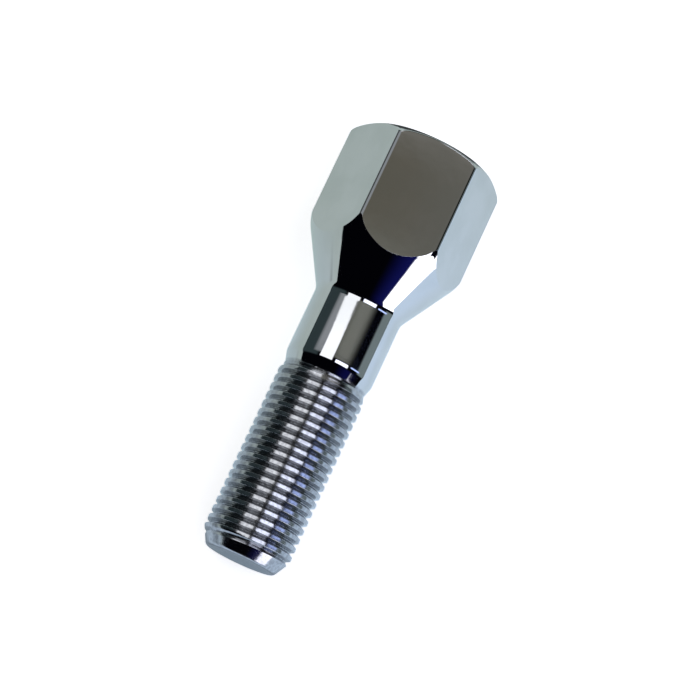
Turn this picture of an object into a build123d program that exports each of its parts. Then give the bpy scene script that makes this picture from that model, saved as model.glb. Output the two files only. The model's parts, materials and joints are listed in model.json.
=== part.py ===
from build123d import *
from math import atan2, cos, degrees, hypot, radians, sqrt, tan
import os

# A wheel bolt, one piece of chromed steel: a tall hexagon head, a cone seat that runs up into
# the hexagon, a plain neck and a metric thread, whose stretch is a plain cylinder over its crests.
# Sizes are in millimetres and degrees, and heights are measured from the tip of the thread.

# Head
across_flats = 19.0
hex_edge_radius = 0.8
head_height = 22.45  # small end of the cone seat to the top face
top_face_diameter = 17.9
top_chamfer_angle = 30.0  # between the chamfer and the top face
seat_angle = 60.0  # included angle of the cone seat
seat_shoulder_radius = 6.0  # where the cone seat runs out at the corners of the hexagon
top_shoulder_radius = 1.5  # where the top chamfer runs out at the corners of the hexagon
flat_edge_radius = 0.4  # where the flats meet the cone seat and the top chamfer

# Neck
shank_length = 36.6  # tip to the small end of the cone seat
neck_oversize = 0.1  # the neck is this much wider than the thread
neck_fillet_radius = 2.2  # where the neck meets the cone seat
neck_edge_radius = 2.2  # where the neck meets its chamfer
neck_chamfer_angle = 17.0  # between the chamfer and the axis

# Thread
thread_size = 12.0
thread_pitch = 1.25
threaded_length = 27.4  # tip to the end of the plain neck
run_out_length = 1.2  # where the crests rise out of the bare shank
tip_diameter = 10.1  # flat end, before its edge is rounded
tip_edge_radius = 0.6
tip_chamfer_length = 1.9  # tip to the first full crest

# Radii and heights that follow from the driving sizes
side_count = 6
flat_radius = across_flats / 2
corner_radius = flat_radius / cos(radians(180 / side_count))
top_radius = top_face_diameter / 2
crest_radius = thread_size / 2
neck_radius = (thread_size + neck_oversize) / 2
sharp_thread_height = thread_pitch * sqrt(3) / 2
bare_radius = crest_radius - 3 / 8 * sharp_thread_height  # the thread's pitch radius
tip_radius = tip_diameter / 2
seat_slope = tan(radians(seat_angle / 2))
top_height = shank_length + head_height
run_out_top = threaded_length - (neck_radius - bare_radius) / tan(radians(neck_chamfer_angle))


def turned_blank():
    """The bolt as it is turned about the axis, before its flats are cut."""
    seat_top = shank_length + (corner_radius - neck_radius) / seat_slope
    chamfer_bottom = top_height - (corner_radius - top_radius) * tan(radians(top_chamfer_angle))
    tip_edge = (tip_radius, 0)
    neck_edge = (neck_radius, threaded_length)
    neck_foot = (neck_radius, shank_length)
    seat_end = (corner_radius, seat_top)
    chamfer_end = (corner_radius, chamfer_bottom)
    corners = [
        (0, 0),
        tip_edge,
        (crest_radius, tip_chamfer_length),
        (crest_radius, run_out_top - run_out_length),
        (bare_radius, run_out_top),
        neck_edge,
        neck_foot,
        seat_end,
        chamfer_end,
        (top_radius, top_height),
        (0, top_height),
    ]
    section = make_face(Polyline(*corners, close=True))
    roundings = {
        tip_edge: tip_edge_radius,
        neck_edge: neck_edge_radius,
        neck_foot: neck_fillet_radius,
        seat_end: seat_shoulder_radius,
        chamfer_end: top_shoulder_radius,
    }
    for corner, radius in roundings.items():
        section = fillet(section.vertices().sort_by_distance(corner)[0], radius)
    return revolve(Plane.XZ * section, Axis.Z)


def hexagon_bar():
    """The hexagon that the flats are cut to, with one flat facing +X."""
    section = RegularPolygon(flat_radius, side_count, major_radius=False, rotation=180 / side_count)
    return extrude(fillet(section.vertices(), hex_edge_radius), amount=top_height)


def is_rim(edge):
    """Whether an edge is one where the hexagon meets the cone seat or the top chamfer."""
    middle = edge @ 0.5
    on_hexagon = hypot(middle.X, middle.Y) > (flat_radius + top_radius) / 2
    return on_hexagon and edge.geom_type != GeomType.LINE


sharp_bolt = turned_blank() & hexagon_bar()
bolt = fillet(sharp_bolt.edges().filter_by(is_rim), flat_edge_radius)

# The bolt lies on the lower edge of one flat and on the first full crest at its tip, so its axis
# slopes down to the tip. The floor is Z = 0, the head points along +X and the middle is at the origin.
flat_edge_height = shank_length + (flat_radius - neck_radius) / seat_slope
rest_tilt = degrees(atan2(flat_radius - crest_radius, flat_edge_height - tip_chamfer_length))
lying = Rot(0, 90 - rest_tilt, 0) * bolt
box = lying.bounding_box()
wheel_bolt = Pos(-box.center().X, -box.center().Y, -box.min.Z) * lying
wheel_bolt.label = "wheel_bolt"

os.makedirs("parts", exist_ok=True)
export_step(wheel_bolt, "parts/wheel_bolt.step")
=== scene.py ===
import json
from math import atan2, ceil, cos, hypot, pi, radians, sin, sqrt, tan

import bmesh
import bpy
from mathutils import Matrix, Vector


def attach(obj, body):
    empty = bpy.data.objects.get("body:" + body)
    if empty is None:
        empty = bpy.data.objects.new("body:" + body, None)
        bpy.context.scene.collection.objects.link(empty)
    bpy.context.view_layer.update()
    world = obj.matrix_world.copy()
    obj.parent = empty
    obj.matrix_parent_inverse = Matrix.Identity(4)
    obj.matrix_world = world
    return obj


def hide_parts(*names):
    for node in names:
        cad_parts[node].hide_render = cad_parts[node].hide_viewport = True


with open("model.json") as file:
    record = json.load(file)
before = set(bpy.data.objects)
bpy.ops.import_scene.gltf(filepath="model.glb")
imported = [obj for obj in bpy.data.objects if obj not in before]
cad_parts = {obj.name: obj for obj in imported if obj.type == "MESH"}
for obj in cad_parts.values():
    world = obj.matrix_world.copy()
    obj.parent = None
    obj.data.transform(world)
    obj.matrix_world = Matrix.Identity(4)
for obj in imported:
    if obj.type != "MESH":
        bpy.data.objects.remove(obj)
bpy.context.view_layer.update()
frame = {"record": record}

# A chromed wheel bolt that lies on a white floor, seen from above.

millimetre = 0.001
mounts = {mount["name"]: mount for mount in frame["record"]["mounts"]}

# Sizes of the head and neck, in millimetres and degrees, with heights measured from the tip
side_count = 6
across_flats = 19.0
hexagon_edge_rounding = 0.8
top_height = 59.05
top_face_radius = 8.95
top_chamfer_angle = 30.0
seat_half_angle = 30.0
shank_length = 36.6
neck_end_height = 27.4
neck_chamfer_angle = 17.0
neck_radius = mounts["neck"]["dims"]["r_mm"]

# Sizes of the thread
crest_radius = mounts["thread"]["dims"]["r_mm"]
thread_pitch = 1.25
flank_half_angle = 29.3
crest_half_width = 0.26
crest_tilt = 2.0  # how far the slightly bulged crests lean over at their shoulders
crest_lean = 1.5  # how far they lean to the tip as a whole
root_half_width = 0.02
run_out_length = 1.2
tip_radius = 4.75
tip_chamfer_length = 2.3
thread_bottom = 0.4  # under the thread the tip is a plain cone
thread_mount_start = 1.9  # tip to the end of the solid's tip chamfer, where the thread's mount starts

# Roundings of the edges, in millimetres
seat_shoulder = 6.0
top_shoulder = 1.5
seat_rim_rounding = 0.03
chamfer_rim_rounding = 0.4
top_rim_rounding = 0.15
neck_fillet = 2.2
neck_edge_rounding = 2.2
tip_rim_rounding = 0.6
crest_rounding = 6.0
crest_shoulder = 0.06

# Heights and radii that follow from the sizes
half_side_angle = pi / side_count  # from the middle of a flat to the edge beside it
flat_radius = across_flats / 2
corner_radius = flat_radius / cos(half_side_angle)
seat_slope = tan(radians(seat_half_angle))
top_slope = tan(radians(top_chamfer_angle))
flank_slope = tan(radians(flank_half_angle))
tip_slope = (crest_radius - tip_radius) / tip_chamfer_length
crest_bulge = crest_rounding * (cos(radians(crest_lean)) / cos(radians(crest_tilt)) - 1)
crest_apex = crest_radius + crest_bulge  # before it is rounded
crest_low_edge = crest_apex - crest_half_width * tan(radians(crest_tilt + crest_lean))
crest_high_edge = crest_apex - crest_half_width * tan(radians(crest_tilt - crest_lean))
root_radius = crest_low_edge - (thread_pitch / 2 - crest_half_width - root_half_width) / flank_slope
root_rounding = root_half_width / tan(radians(90 - flank_half_angle) / 2)  # fills the whole root
sharp_thread_height = thread_pitch * sqrt(3) / 2
bare_radius = crest_radius - 3 / 8 * sharp_thread_height  # the thread's pitch radius
run_out_top = neck_end_height - (neck_radius - bare_radius) / tan(radians(neck_chamfer_angle))
run_out_bottom = run_out_top - run_out_length

# The mesh: columns run round the bolt and crowd at the six edges of the hexagon
flat_columns = 10
edge_columns = 4
half_side_columns = flat_columns + 1 + edge_columns
side_columns = 2 * half_side_columns
column_count = side_count * side_columns
arc_steps = 8
thread_arc_steps = 2
run_shares = (0.03, 0.25, 0.5, 0.75, 0.97)  # where a straight run of an outline is divided
shoulder_shares = (0.2, 0.4, 0.6, 0.8)  # where the rounded shoulders of the head are divided
flat_share = 0.985  # the last column before an edge stands close to it
turned_margin = 0.35
round_radius = flat_radius - turned_margin  # within it the head is as it was turned
rim_width = 0.25  # room for the roundings beside the hexagon's wall
weld_distance = 0.001


def run_points(start, end, shares):
    """The points that divide a straight run of an outline."""
    return [start.lerp(end, share) for share in shares]


def rounded_outline(corners, steps, shares=()):
    """Points along (radius, height, rounding) corners, with an arc at each corner and runs divided."""
    points = [Vector(corners[0][:2])]
    for before, corner, after in zip(corners, corners[1:], corners[2:]):
        middle = Vector(corner[:2])
        rounding = corner[2]
        back = (Vector(before[:2]) - middle).normalized()
        ahead = (Vector(after[:2]) - middle).normalized()
        turn = pi - back.angle(ahead)
        side = 1 if back.x * ahead.y - back.y * ahead.x < 0 else -1
        centre = middle + (back + ahead).normalized() * rounding / cos(turn / 2)
        start = middle + back * rounding * tan(turn / 2) - centre
        points += run_points(points[-1], centre + start, shares)
        for step in range(steps + 1):
            points.append(centre + Matrix.Rotation(side * turn * step / steps, 2) @ start)
    end = Vector(corners[-1][:2])
    return points + run_points(points[-1], end, shares) + [end]


def hexagon_column(column):
    """Angle and distance from the axis of the rounded hexagon's wall at a column of the mesh."""
    side, place = divmod(column, side_columns)
    from_flat = min(place, side_columns - place)
    edge_start = (flat_radius - hexagon_edge_rounding) * tan(half_side_angle)
    if from_flat <= flat_columns:
        wall = Vector((flat_radius, edge_start * flat_share * from_flat / flat_columns))
    else:
        turn = half_side_angle * (from_flat - flat_columns - 1) / edge_columns
        centre = Vector((flat_radius - hexagon_edge_rounding, edge_start))
        wall = centre + hexagon_edge_rounding * Vector((cos(turn), sin(turn)))
    angle = atan2(wall.y, wall.x)
    if place > half_side_columns:
        angle = 2 * half_side_angle - angle
    return 2 * half_side_angle * side + angle, wall.length


columns = [hexagon_column(column) for column in range(column_count)]


def spun(outline, rise=0):
    """An outline of (radius, height) points spun once about the axis, rising by so much on the way."""
    mesh = bmesh.new()
    row = mesh.verts.layers.int.new("row")
    chain = [mesh.verts.new((point.x, 0, point.y)) for point in outline]
    for index, vertex in enumerate(chain):
        vertex[row] = index
    edges = [mesh.edges.new(pair) for pair in zip(chain, chain[1:])]
    bmesh.ops.spin(
        mesh,
        geom=chain + edges,
        cent=(0, 0, 0),
        axis=(0, 0, 1),
        dvec=(0, 0, rise / column_count),
        angle=2 * pi,
        steps=column_count,
        use_merge=rise == 0,
        use_normal_flip=False,
        use_duplicate=False,
    )
    return mesh


def column_of(vertex):
    """The column of the mesh that a spun vertex is in."""
    return round(atan2(vertex.co.y, vertex.co.x) / (2 * pi) * column_count) % column_count


def place_vertex(vertex, angle, radius, height):
    """Moves a vertex to an angle, a distance from the axis and a height."""
    vertex.co = (radius * cos(angle), radius * sin(angle), height)


def thread_outline():
    """The thread's outline along the bolt, past both of its ends, with rounded roots and crests."""
    first_turn = -2
    last_turn = ceil(run_out_top / thread_pitch) + 1
    points = [Vector((root_radius, first_turn * thread_pitch))]
    for turn in range(first_turn, last_turn):
        bottom = turn * thread_pitch
        crest = bottom + thread_pitch / 2
        corners = [
            (root_radius, bottom, 0),
            (root_radius, bottom + root_half_width, root_rounding),
            (crest_low_edge, crest - crest_half_width, crest_shoulder),
            (crest_apex, crest, crest_rounding),
            (crest_high_edge, crest + crest_half_width, crest_shoulder),
            (root_radius, bottom + thread_pitch - root_half_width, root_rounding),
            (root_radius, bottom + thread_pitch, 0),
        ]
        # The arcs of the roots begin and end where the turns meet, so those points are taken only once
        points += rounded_outline(corners, thread_arc_steps)[2:-1]
    return points


def threaded_shank():
    """The thread, spun along its helix, cut off by the tip's cone and running out under the neck."""
    mesh = spun(thread_outline(), rise=thread_pitch)
    for vertex in mesh.verts:
        column = column_of(vertex)
        angle = columns[column][0]
        shift = angle - 2 * pi * column / column_count
        height = vertex.co.z + thread_pitch * shift / (2 * pi)
        height = min(max(height, thread_bottom), run_out_top)
        radius = min(hypot(vertex.co.x, vertex.co.y), tip_radius + tip_slope * height)
        run_out = max(0, height - run_out_bottom) / run_out_length
        radius += (bare_radius - radius) * run_out
        place_vertex(vertex, angle, radius, height)
    return mesh


def seat_height(radius):
    """Height of the cone seat at a distance from the axis, with a rounded shoulder at the corners."""
    shoulder_start = seat_shoulder * tan(radians(seat_half_angle / 2))
    sharp_top = shank_length + (corner_radius - neck_radius) / seat_slope
    if radius < corner_radius - shoulder_start * sin(radians(seat_half_angle)):
        return shank_length + (radius - neck_radius) / seat_slope
    inside = radius - (corner_radius - seat_shoulder)
    return sharp_top + shoulder_start - sqrt(seat_shoulder ** 2 - inside ** 2)


def chamfer_height(radius):
    """Height of the top chamfer at a distance from the axis, with a rounded shoulder at the corners."""
    shoulder_start = top_shoulder * tan(radians(90 - top_chamfer_angle) / 2)
    sharp_bottom = top_height - (corner_radius - top_face_radius) * top_slope
    if radius < corner_radius - shoulder_start * cos(radians(top_chamfer_angle)):
        return top_height - (radius - top_face_radius) * top_slope
    inside = radius - (corner_radius - top_shoulder)
    return sharp_bottom - shoulder_start + sqrt(top_shoulder ** 2 - inside ** 2)


def head_outline(wall):
    """Neck, cone seat and head in a plane through the axis, where the hexagon's wall is so far out."""
    rim_start = wall - rim_width
    shoulder = [round_radius + (rim_start - round_radius) * share for share in shoulder_shares]
    turned_part = [
        (bare_radius, run_out_top, 0),
        (neck_radius, neck_end_height, neck_edge_rounding),
        (neck_radius, shank_length, neck_fillet),
        (round_radius, seat_height(round_radius), 0),
    ]
    hexagon_part = [
        (rim_start, seat_height(rim_start), 0),
        (wall, seat_height(wall), seat_rim_rounding),
        (wall, chamfer_height(wall), chamfer_rim_rounding),
        (rim_start, chamfer_height(rim_start), 0),
    ]
    top_part = [
        (round_radius, chamfer_height(round_radius), 0),
        (top_face_radius, top_height, top_rim_rounding),
        (0, top_height, 0),
    ]
    points = rounded_outline(turned_part, arc_steps, run_shares)
    points += [Vector((radius, seat_height(radius))) for radius in shoulder]
    points += rounded_outline(hexagon_part, arc_steps, run_shares)
    points += [Vector((radius, chamfer_height(radius))) for radius in reversed(shoulder)]
    return points + rounded_outline(top_part, arc_steps, run_shares)


def neck_and_head():
    """The plain neck and the head, spun and then drawn in to the flats of the hexagon."""
    mesh = spun(head_outline(flat_radius))
    row = mesh.verts.layers.int["row"]
    outlines = [head_outline(wall) for angle, wall in columns]
    for vertex in mesh.verts:
        column = column_of(vertex)
        point = outlines[column][vertex[row]]
        place_vertex(vertex, columns[column][0], point.x, point.y)
    return mesh


def tip_end():
    """The flat end of the thread with its rounded rim, up to where the thread starts."""
    corners = [
        (0, 0, 0),
        (tip_radius, 0, tip_rim_rounding),
        (tip_radius + tip_slope * thread_bottom, thread_bottom, 0),
    ]
    mesh = spun(rounded_outline(corners, arc_steps, run_shares))
    for vertex in mesh.verts:
        angle = columns[column_of(vertex)][0]
        place_vertex(vertex, angle, hypot(vertex.co.x, vertex.co.y), vertex.co.z)
    return mesh


def bolt_placement():
    """Takes the bolt from its own axis, in millimetres, to where it lies, in metres."""
    thread = mounts["thread"]
    to_head = -Vector(thread["axis"])
    thread_middle = thread_mount_start + thread["dims"]["length_mm"] / 2
    tip = Vector(thread["pos_m"]) - to_head * thread_middle * millimetre
    left = Vector((0, 1, 0))
    turned = Matrix((left.cross(to_head), left, to_head)).transposed()
    return Matrix.Translation(tip) @ turned.to_4x4() @ Matrix.Scale(millimetre, 4)


placement = bolt_placement()


def corner_normal(vertex):
    """The normal at a vertex, led by its larger faces, so that a flat crest is shaded as flat."""
    pull = Vector()
    for face in vertex.link_faces:
        pull += face.normal * face.calc_area()
    return pull.normalized()


def chromed_bolt():
    """The whole bolt as one closed mesh."""
    whole = bmesh.new()
    for part in (threaded_shank(), neck_and_head(), tip_end()):
        stretch = bpy.data.meshes.new("stretch")
        part.to_mesh(stretch)
        part.free()
        whole.from_mesh(stretch)
        bpy.data.meshes.remove(stretch)
    bmesh.ops.remove_doubles(whole, verts=whole.verts[:], dist=weld_distance)
    bmesh.ops.recalc_face_normals(whole, faces=whole.faces[:])
    bmesh.ops.transform(whole, matrix=placement, verts=whole.verts[:])
    whole.normal_update()
    for face in whole.faces:
        face.smooth = True
    normals = [corner_normal(vertex) for vertex in whole.verts]
    mesh = bpy.data.meshes.new("chromed_bolt")
    whole.to_mesh(mesh)
    whole.free()
    mesh.normals_split_custom_set_from_vertices(normals)
    bolt = bpy.data.objects.new("chromed_bolt", mesh)
    bpy.context.scene.collection.objects.link(bolt)
    return bolt


# The camera, placed against the bolt by its axis, its upper flat and the line across both
view_distance = 300.0
view_scale = 7.705  # pixels for a millimetre at the bolt's axis
view_tilt = 12.19  # towards the tip
view_turn = 4.17  # about the bolt's axis
view_roll = 25.1
view_height = 28.0  # the place on the axis that the shifts count from
shift_right = -1.404
shift_down = 2.81
image_side = 700
sensor_side = 36.0
nearest_seen = 0.01

tip_place = placement.translation
to_head = placement.to_3x3().col[2].normalized()
off_floor = -placement.to_3x3().col[0].normalized()
across = to_head.cross(off_floor)
photo_right = cos(radians(view_turn)) * across + sin(radians(view_turn)) * off_floor
photo_near = cos(radians(view_turn)) * off_floor - sin(radians(view_turn)) * across


def add_camera():
    """The camera looks down on the bolt, rolled so that the head leans to the right."""
    toward = cos(radians(view_tilt)) * photo_near - sin(radians(view_tilt)) * to_head
    up = sin(radians(view_tilt)) * photo_near + cos(radians(view_tilt)) * to_head
    aim = placement @ Vector((0, 0, view_height))
    aim += (up * shift_down - photo_right * shift_right) * millimetre
    camera_up = cos(radians(view_roll)) * up - sin(radians(view_roll)) * photo_right
    camera_right = camera_up.cross(toward)
    lens = bpy.data.cameras.new("camera")
    lens.sensor_width = sensor_side
    lens.lens = view_scale * view_distance * sensor_side / image_side
    lens.clip_start = nearest_seen
    camera = bpy.data.objects.new("camera", lens)
    turned = Matrix((camera_right, camera_up, toward)).transposed().to_4x4()
    camera.matrix_world = Matrix.Translation(aim + toward * view_distance * millimetre) @ turned
    bpy.context.scene.collection.objects.link(camera)
    bpy.context.scene.camera = camera


# Nodes of the room, the floor and the chrome
white = (1, 1, 1, 1)
black = (0, 0, 0, 1)


def feed(tree, socket, value):
    """Links another node's output to a socket, or sets the socket to a value, if there is one."""
    if isinstance(value, bpy.types.NodeSocket):
        tree.links.new(value, socket)
    elif value is not None:
        socket.default_value = value


def add_node(tree, kind, *inputs, **settings):
    """A new node, with its settings, and its inputs in order: a value, another node's output or None."""
    node = tree.nodes.new("ShaderNode" + kind)
    for name, value in settings.items():
        setattr(node, name, value)
    for socket, value in zip(node.inputs, inputs):
        feed(tree, socket, value)
    return node


def calculate(tree, operation, *inputs):
    """The output of a Math node."""
    return add_node(tree, "Math", *inputs, operation=operation).outputs[0]


def mix_colours(tree, share, first, second):
    """The output of a node that mixes two colours."""
    node = add_node(tree, "Mix", share, data_type="RGBA")
    feed(tree, node.inputs[6], first)  # the node's sockets for colours come after those for numbers
    feed(tree, node.inputs[7], second)
    return node.outputs[2]


def ramp(tree, value, low, high, to_low=0.0, to_high=1.0):
    """The output of a node that takes a value smoothly from one range to another."""
    node = add_node(tree, "MapRange", value, low, high, to_low, to_high, interpolation_type="SMOOTHSTEP")
    return node.outputs[0]


def band(tree, value, low, high, softness):
    """1 between two angles in degrees and 0 outside them, with soft borders."""
    low, high, softness = radians(low), radians(high), radians(softness)
    rising = ramp(tree, value, low - softness, low + softness)
    falling = ramp(tree, value, high - softness, high + softness, 1.0, 0.0)
    return calculate(tree, "MULTIPLY", rising, falling)


def along(tree, direction, axis):
    """How far a direction points along an axis."""
    node = add_node(tree, "VectorMath", direction, axis, operation="DOT_PRODUCT")
    return node.outputs["Value"]


def noise(tree, place, scale, detail, roughness):
    """The output of a noise node."""
    return add_node(tree, "TexNoise", place, None, scale, detail, roughness).outputs[0]


# What the chrome mirrors above the floor: turns about the bolt's axis, from the camera's side to the
# right, and leans along it to the head, each as (from, to, softness) in degrees, and the light from there
room_colour = (0.001, 0.001, 0.0025, 1)
room_panels = [
    ("wall on the left", (-120, -42, 4), (-8, 60, 6), (0.044, 0.065, 0.071, 1)),
    ("its edge over the head", (-120, -42, 4), (14.6, 30, 0.4), (0.1, 0.11, 0.115, 1)),
    ("pale wall", (-55, -5, 7), (11.7, 60, 0.3), (0.4, 0.42, 0.45, 1)),
    ("ceiling", (-6, 38, 14), (11.7, 60, 0.3), (0.26, 0.265, 0.235, 1)),
    ("ceiling over the head", (-14, 38, 10), (14.8, 70, 0.8), (0.172, 0.16, 0.128, 1)),
    ("lighter side of the ceiling", (8.6, 38, 1.4), (14.8, 70, 0.8), (0.195, 0.192, 0.172, 1)),
    ("end of the ceiling", (-14, 38, 10), (17.4, 70, 0.5), (0.245, 0.235, 0.21, 1)),
    ("wall on the right", (70, 120, 4), (-6, 60, 3), (0.26, 0.32, 0.335, 1)),
    ("blue shade", (36, 70, 24), (-62, -18, 6), (0.008, 0.01, 0.13, 1)),
    ("left pane", (-41.6, -9.4, 1.2), (-6, 14.1, 0.4), (1.8, 1.82, 1.9, 1)),
    ("middle pane", (5.5, 40, 1.2), (-10, 10.9, 0.4), (2.4, 2.5, 3.0, 1)),
    ("left pane high up", (-53, -12, 2), (43, 58, 1), (2.0, 2.02, 2.1, 1)),
    ("middle pane high up", (12, 50, 2), (47, 57, 1), (2.4, 2.45, 2.8, 1)),
    ("blue pane", (48, 76, 2), (3, 10.6, 0.6), (1.0, 1.25, 2.2, 1)),
    ("right pane", (57, 100, 2), (-55, -18.6, 0.8), (3.2, 3.2, 3.6, 1)),
    ("wall beyond the tip", (-200, 200, 1), (-90, -66, 3), (0.12, 0.122, 0.128, 1)),
]
# The left pane leans over: below these leans its turns have moved to the right by so much
leaning_pane = "left pane"
leaning_from, leaning_to = 13.7, 12.2
leaning_turn = 6.0


def add_room():
    """The dim room that the chrome mirrors, with bright panes; the camera sees white past the floor."""
    world = bpy.data.worlds.new("room")
    world.use_nodes = True
    tree = world.node_tree
    tree.nodes.clear()
    looking = add_node(tree, "TexCoord").outputs["Generated"]
    to_right = along(tree, looking, photo_right)
    to_camera = along(tree, looking, photo_near)
    turn = calculate(tree, "ARCTAN2", to_right, to_camera)
    lean = calculate(tree, "ARCSINE", along(tree, looking, to_head))
    moved = ramp(tree, lean, radians(leaning_to), radians(leaning_from), radians(leaning_turn), 0.0)
    leaning = calculate(tree, "SUBTRACT", turn, moved)
    colour = room_colour
    for name, turns, leans, light in room_panels:
        across_panel = band(tree, leaning if name == leaning_pane else turn, *turns)
        share = calculate(tree, "MULTIPLY", across_panel, band(tree, lean, *leans))
        colour = mix_colours(tree, share, colour, light)
    seen = add_node(tree, "LightPath").outputs["Is Camera Ray"]
    background = add_node(tree, "Background", mix_colours(tree, seen, colour, white), 1.0)
    output = add_node(tree, "OutputWorld")
    feed(tree, output.inputs["Surface"], background.outputs[0])
    bpy.context.scene.world = world


# The floor, in metres, and how much it glows beside the light that falls on it: to the camera, and in
# the chrome by side
floor_radius = 6.0
floor_segments = 96
floor_colour = (0.9, 0.9, 0.9, 1)
camera_glow = 0.72
left_glow = (0.18, 0.265, 0.195, 1)
right_glow = (0.43, 0.61, 0.8, 1)
glow_reach = 0.06
# Painted shade on the floor behind the head, under the tip and left of the thread, which only the chrome
# shows: middle, radius, depth
shades = [
    (Vector((0.047, 0, 0)), 0.016, 1.0),
    (Vector((-0.031, 0, 0)), 0.012, 0.62),
    (Vector((-0.033, 0.041, 0)), 0.028, 0.5),
]
# The floor's colour where the painted shade is at its full depth
shade_colour = (0.1, 0.11, 0.1, 1)


def white_floor():
    """White to the camera, pale in the chrome with painted shade in places, and under the bolt's soft
    shadow.
    """
    material = bpy.data.materials.new("white_floor")
    material.use_nodes = True
    tree = material.node_tree
    tree.nodes.clear()
    path = add_node(tree, "LightPath").outputs
    seen = calculate(tree, "ADD", path["Is Camera Ray"], path["Is Transmission Ray"])
    place = add_node(tree, "TexCoord").outputs["Object"]
    # Painted shade: darkest towards each middle, and seen only by glossy rays, so only in the chrome
    shade = 0.0
    for middle, radius, depth in shades:
        away = add_node(tree, "VectorMath", place, middle, operation="DISTANCE").outputs["Value"]
        shade = calculate(tree, "MAXIMUM", shade, ramp(tree, away, radius / 2, radius, depth, 0.0))
    shade = calculate(tree, "MULTIPLY", shade, path["Is Glossy Ray"])
    side = ramp(tree, along(tree, place, photo_right - to_head), -glow_reach, glow_reach)
    side_glow = mix_colours(tree, shade, mix_colours(tree, side, left_glow, right_glow), black)
    mirrored = add_node(tree, "Emission", side_glow, path["Is Glossy Ray"])
    bright = add_node(tree, "Emission", white, calculate(tree, "MULTIPLY", seen, camera_glow))
    lit = add_node(tree, "BsdfDiffuse", mix_colours(tree, shade, floor_colour, shade_colour))
    glowing = add_node(tree, "AddShader", mirrored.outputs[0], bright.outputs[0])
    both = add_node(tree, "AddShader", lit.outputs[0], glowing.outputs[0])
    output = add_node(tree, "OutputMaterial")
    feed(tree, output.inputs["Surface"], both.outputs[0])
    return material


def add_floor():
    """A wide round floor under the bolt."""
    mesh = bmesh.new()
    bmesh.ops.create_circle(mesh, cap_ends=True, segments=floor_segments, radius=floor_radius)
    floor_mesh = bpy.data.meshes.new("floor")
    mesh.to_mesh(floor_mesh)
    mesh.free()
    floor_mesh.materials.append(white_floor())
    floor = bpy.data.objects.new("floor", floor_mesh)
    bpy.context.scene.collection.objects.link(floor)


# The chrome: bright on the head and neck, duller, rougher and grainy on the thread
bright_chrome = (0.56, 0.565, 0.57, 1)
clouded_chrome = (0.52, 0.53, 0.53, 1)
thread_chrome = (0.39, 0.4, 0.415, 1)
pitted_chrome = (0.29, 0.295, 0.31, 1)
dull_end = run_out_top + 0.4  # the dull plate fades from the end of the thread to here, in millimetres
smooth_roughness = 0.03
clouded_roughness = 2 * smooth_roughness
thread_roughness = 0.1  # added to the others
# Patterns: patches in a metre, levels of finer patches, and how much the finer ones count
clouds_pattern = (180.0, 3.0, 0.5)
waves_pattern = (420.0, 2.0, 0.4)
grain_pattern = (2200.0, 2.0, 0.5)
patch_limits = (0.35, 0.65)  # from bare to full patches in a pattern, for colours
sheen_limits = (0.3, 0.7)  # the same for roughness
wave_depth = 0.000004
grain_depth = 0.000008


def chrome_plate():
    """Bright chrome with faint clouds and waves, and a dull and grainy plate on the thread."""
    material = bpy.data.materials.new("chrome_plate")
    material.use_nodes = True
    tree = material.node_tree
    shader = tree.nodes["Principled BSDF"]
    shader.inputs["Metallic"].default_value = 1.0
    place = add_node(tree, "TexCoord").outputs["Object"]
    from_tip = add_node(tree, "VectorMath", place, tip_place, operation="SUBTRACT").outputs[0]
    height = along(tree, from_tip, to_head)
    dullness = ramp(tree, height, run_out_top * millimetre, dull_end * millimetre, 1.0, 0.0)
    clouds = noise(tree, place, *clouds_pattern)
    waves = noise(tree, place, *waves_pattern)
    grain = noise(tree, place, *grain_pattern)

    plate = mix_colours(tree, ramp(tree, clouds, *patch_limits), bright_chrome, clouded_chrome)
    thread_plate = mix_colours(tree, ramp(tree, grain, *patch_limits), thread_chrome, pitted_chrome)
    feed(tree, shader.inputs["Base Color"], mix_colours(tree, dullness, plate, thread_plate))

    sheen = ramp(tree, clouds, *sheen_limits, smooth_roughness, clouded_roughness)
    rough = calculate(tree, "MULTIPLY_ADD", dullness, thread_roughness, sheen)
    feed(tree, shader.inputs["Roughness"], rough)

    wavy = add_node(tree, "Bump")
    wavy.inputs["Distance"].default_value = wave_depth
    feed(tree, wavy.inputs["Height"], waves)
    grainy = add_node(tree, "Bump")
    grainy.inputs["Distance"].default_value = grain_depth
    feed(tree, grainy.inputs["Strength"], dullness)
    feed(tree, grainy.inputs["Height"], grain)
    feed(tree, grainy.inputs["Normal"], wavy.outputs[0])
    feed(tree, shader.inputs["Normal"], grainy.outputs[0])
    return material


bolt = chromed_bolt()
bolt.data.materials.append(chrome_plate())
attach(bolt, "root")
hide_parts("wheel_bolt")

add_floor()
add_room()
add_camera()
bpy.context.scene.view_settings.view_transform = "Standard"
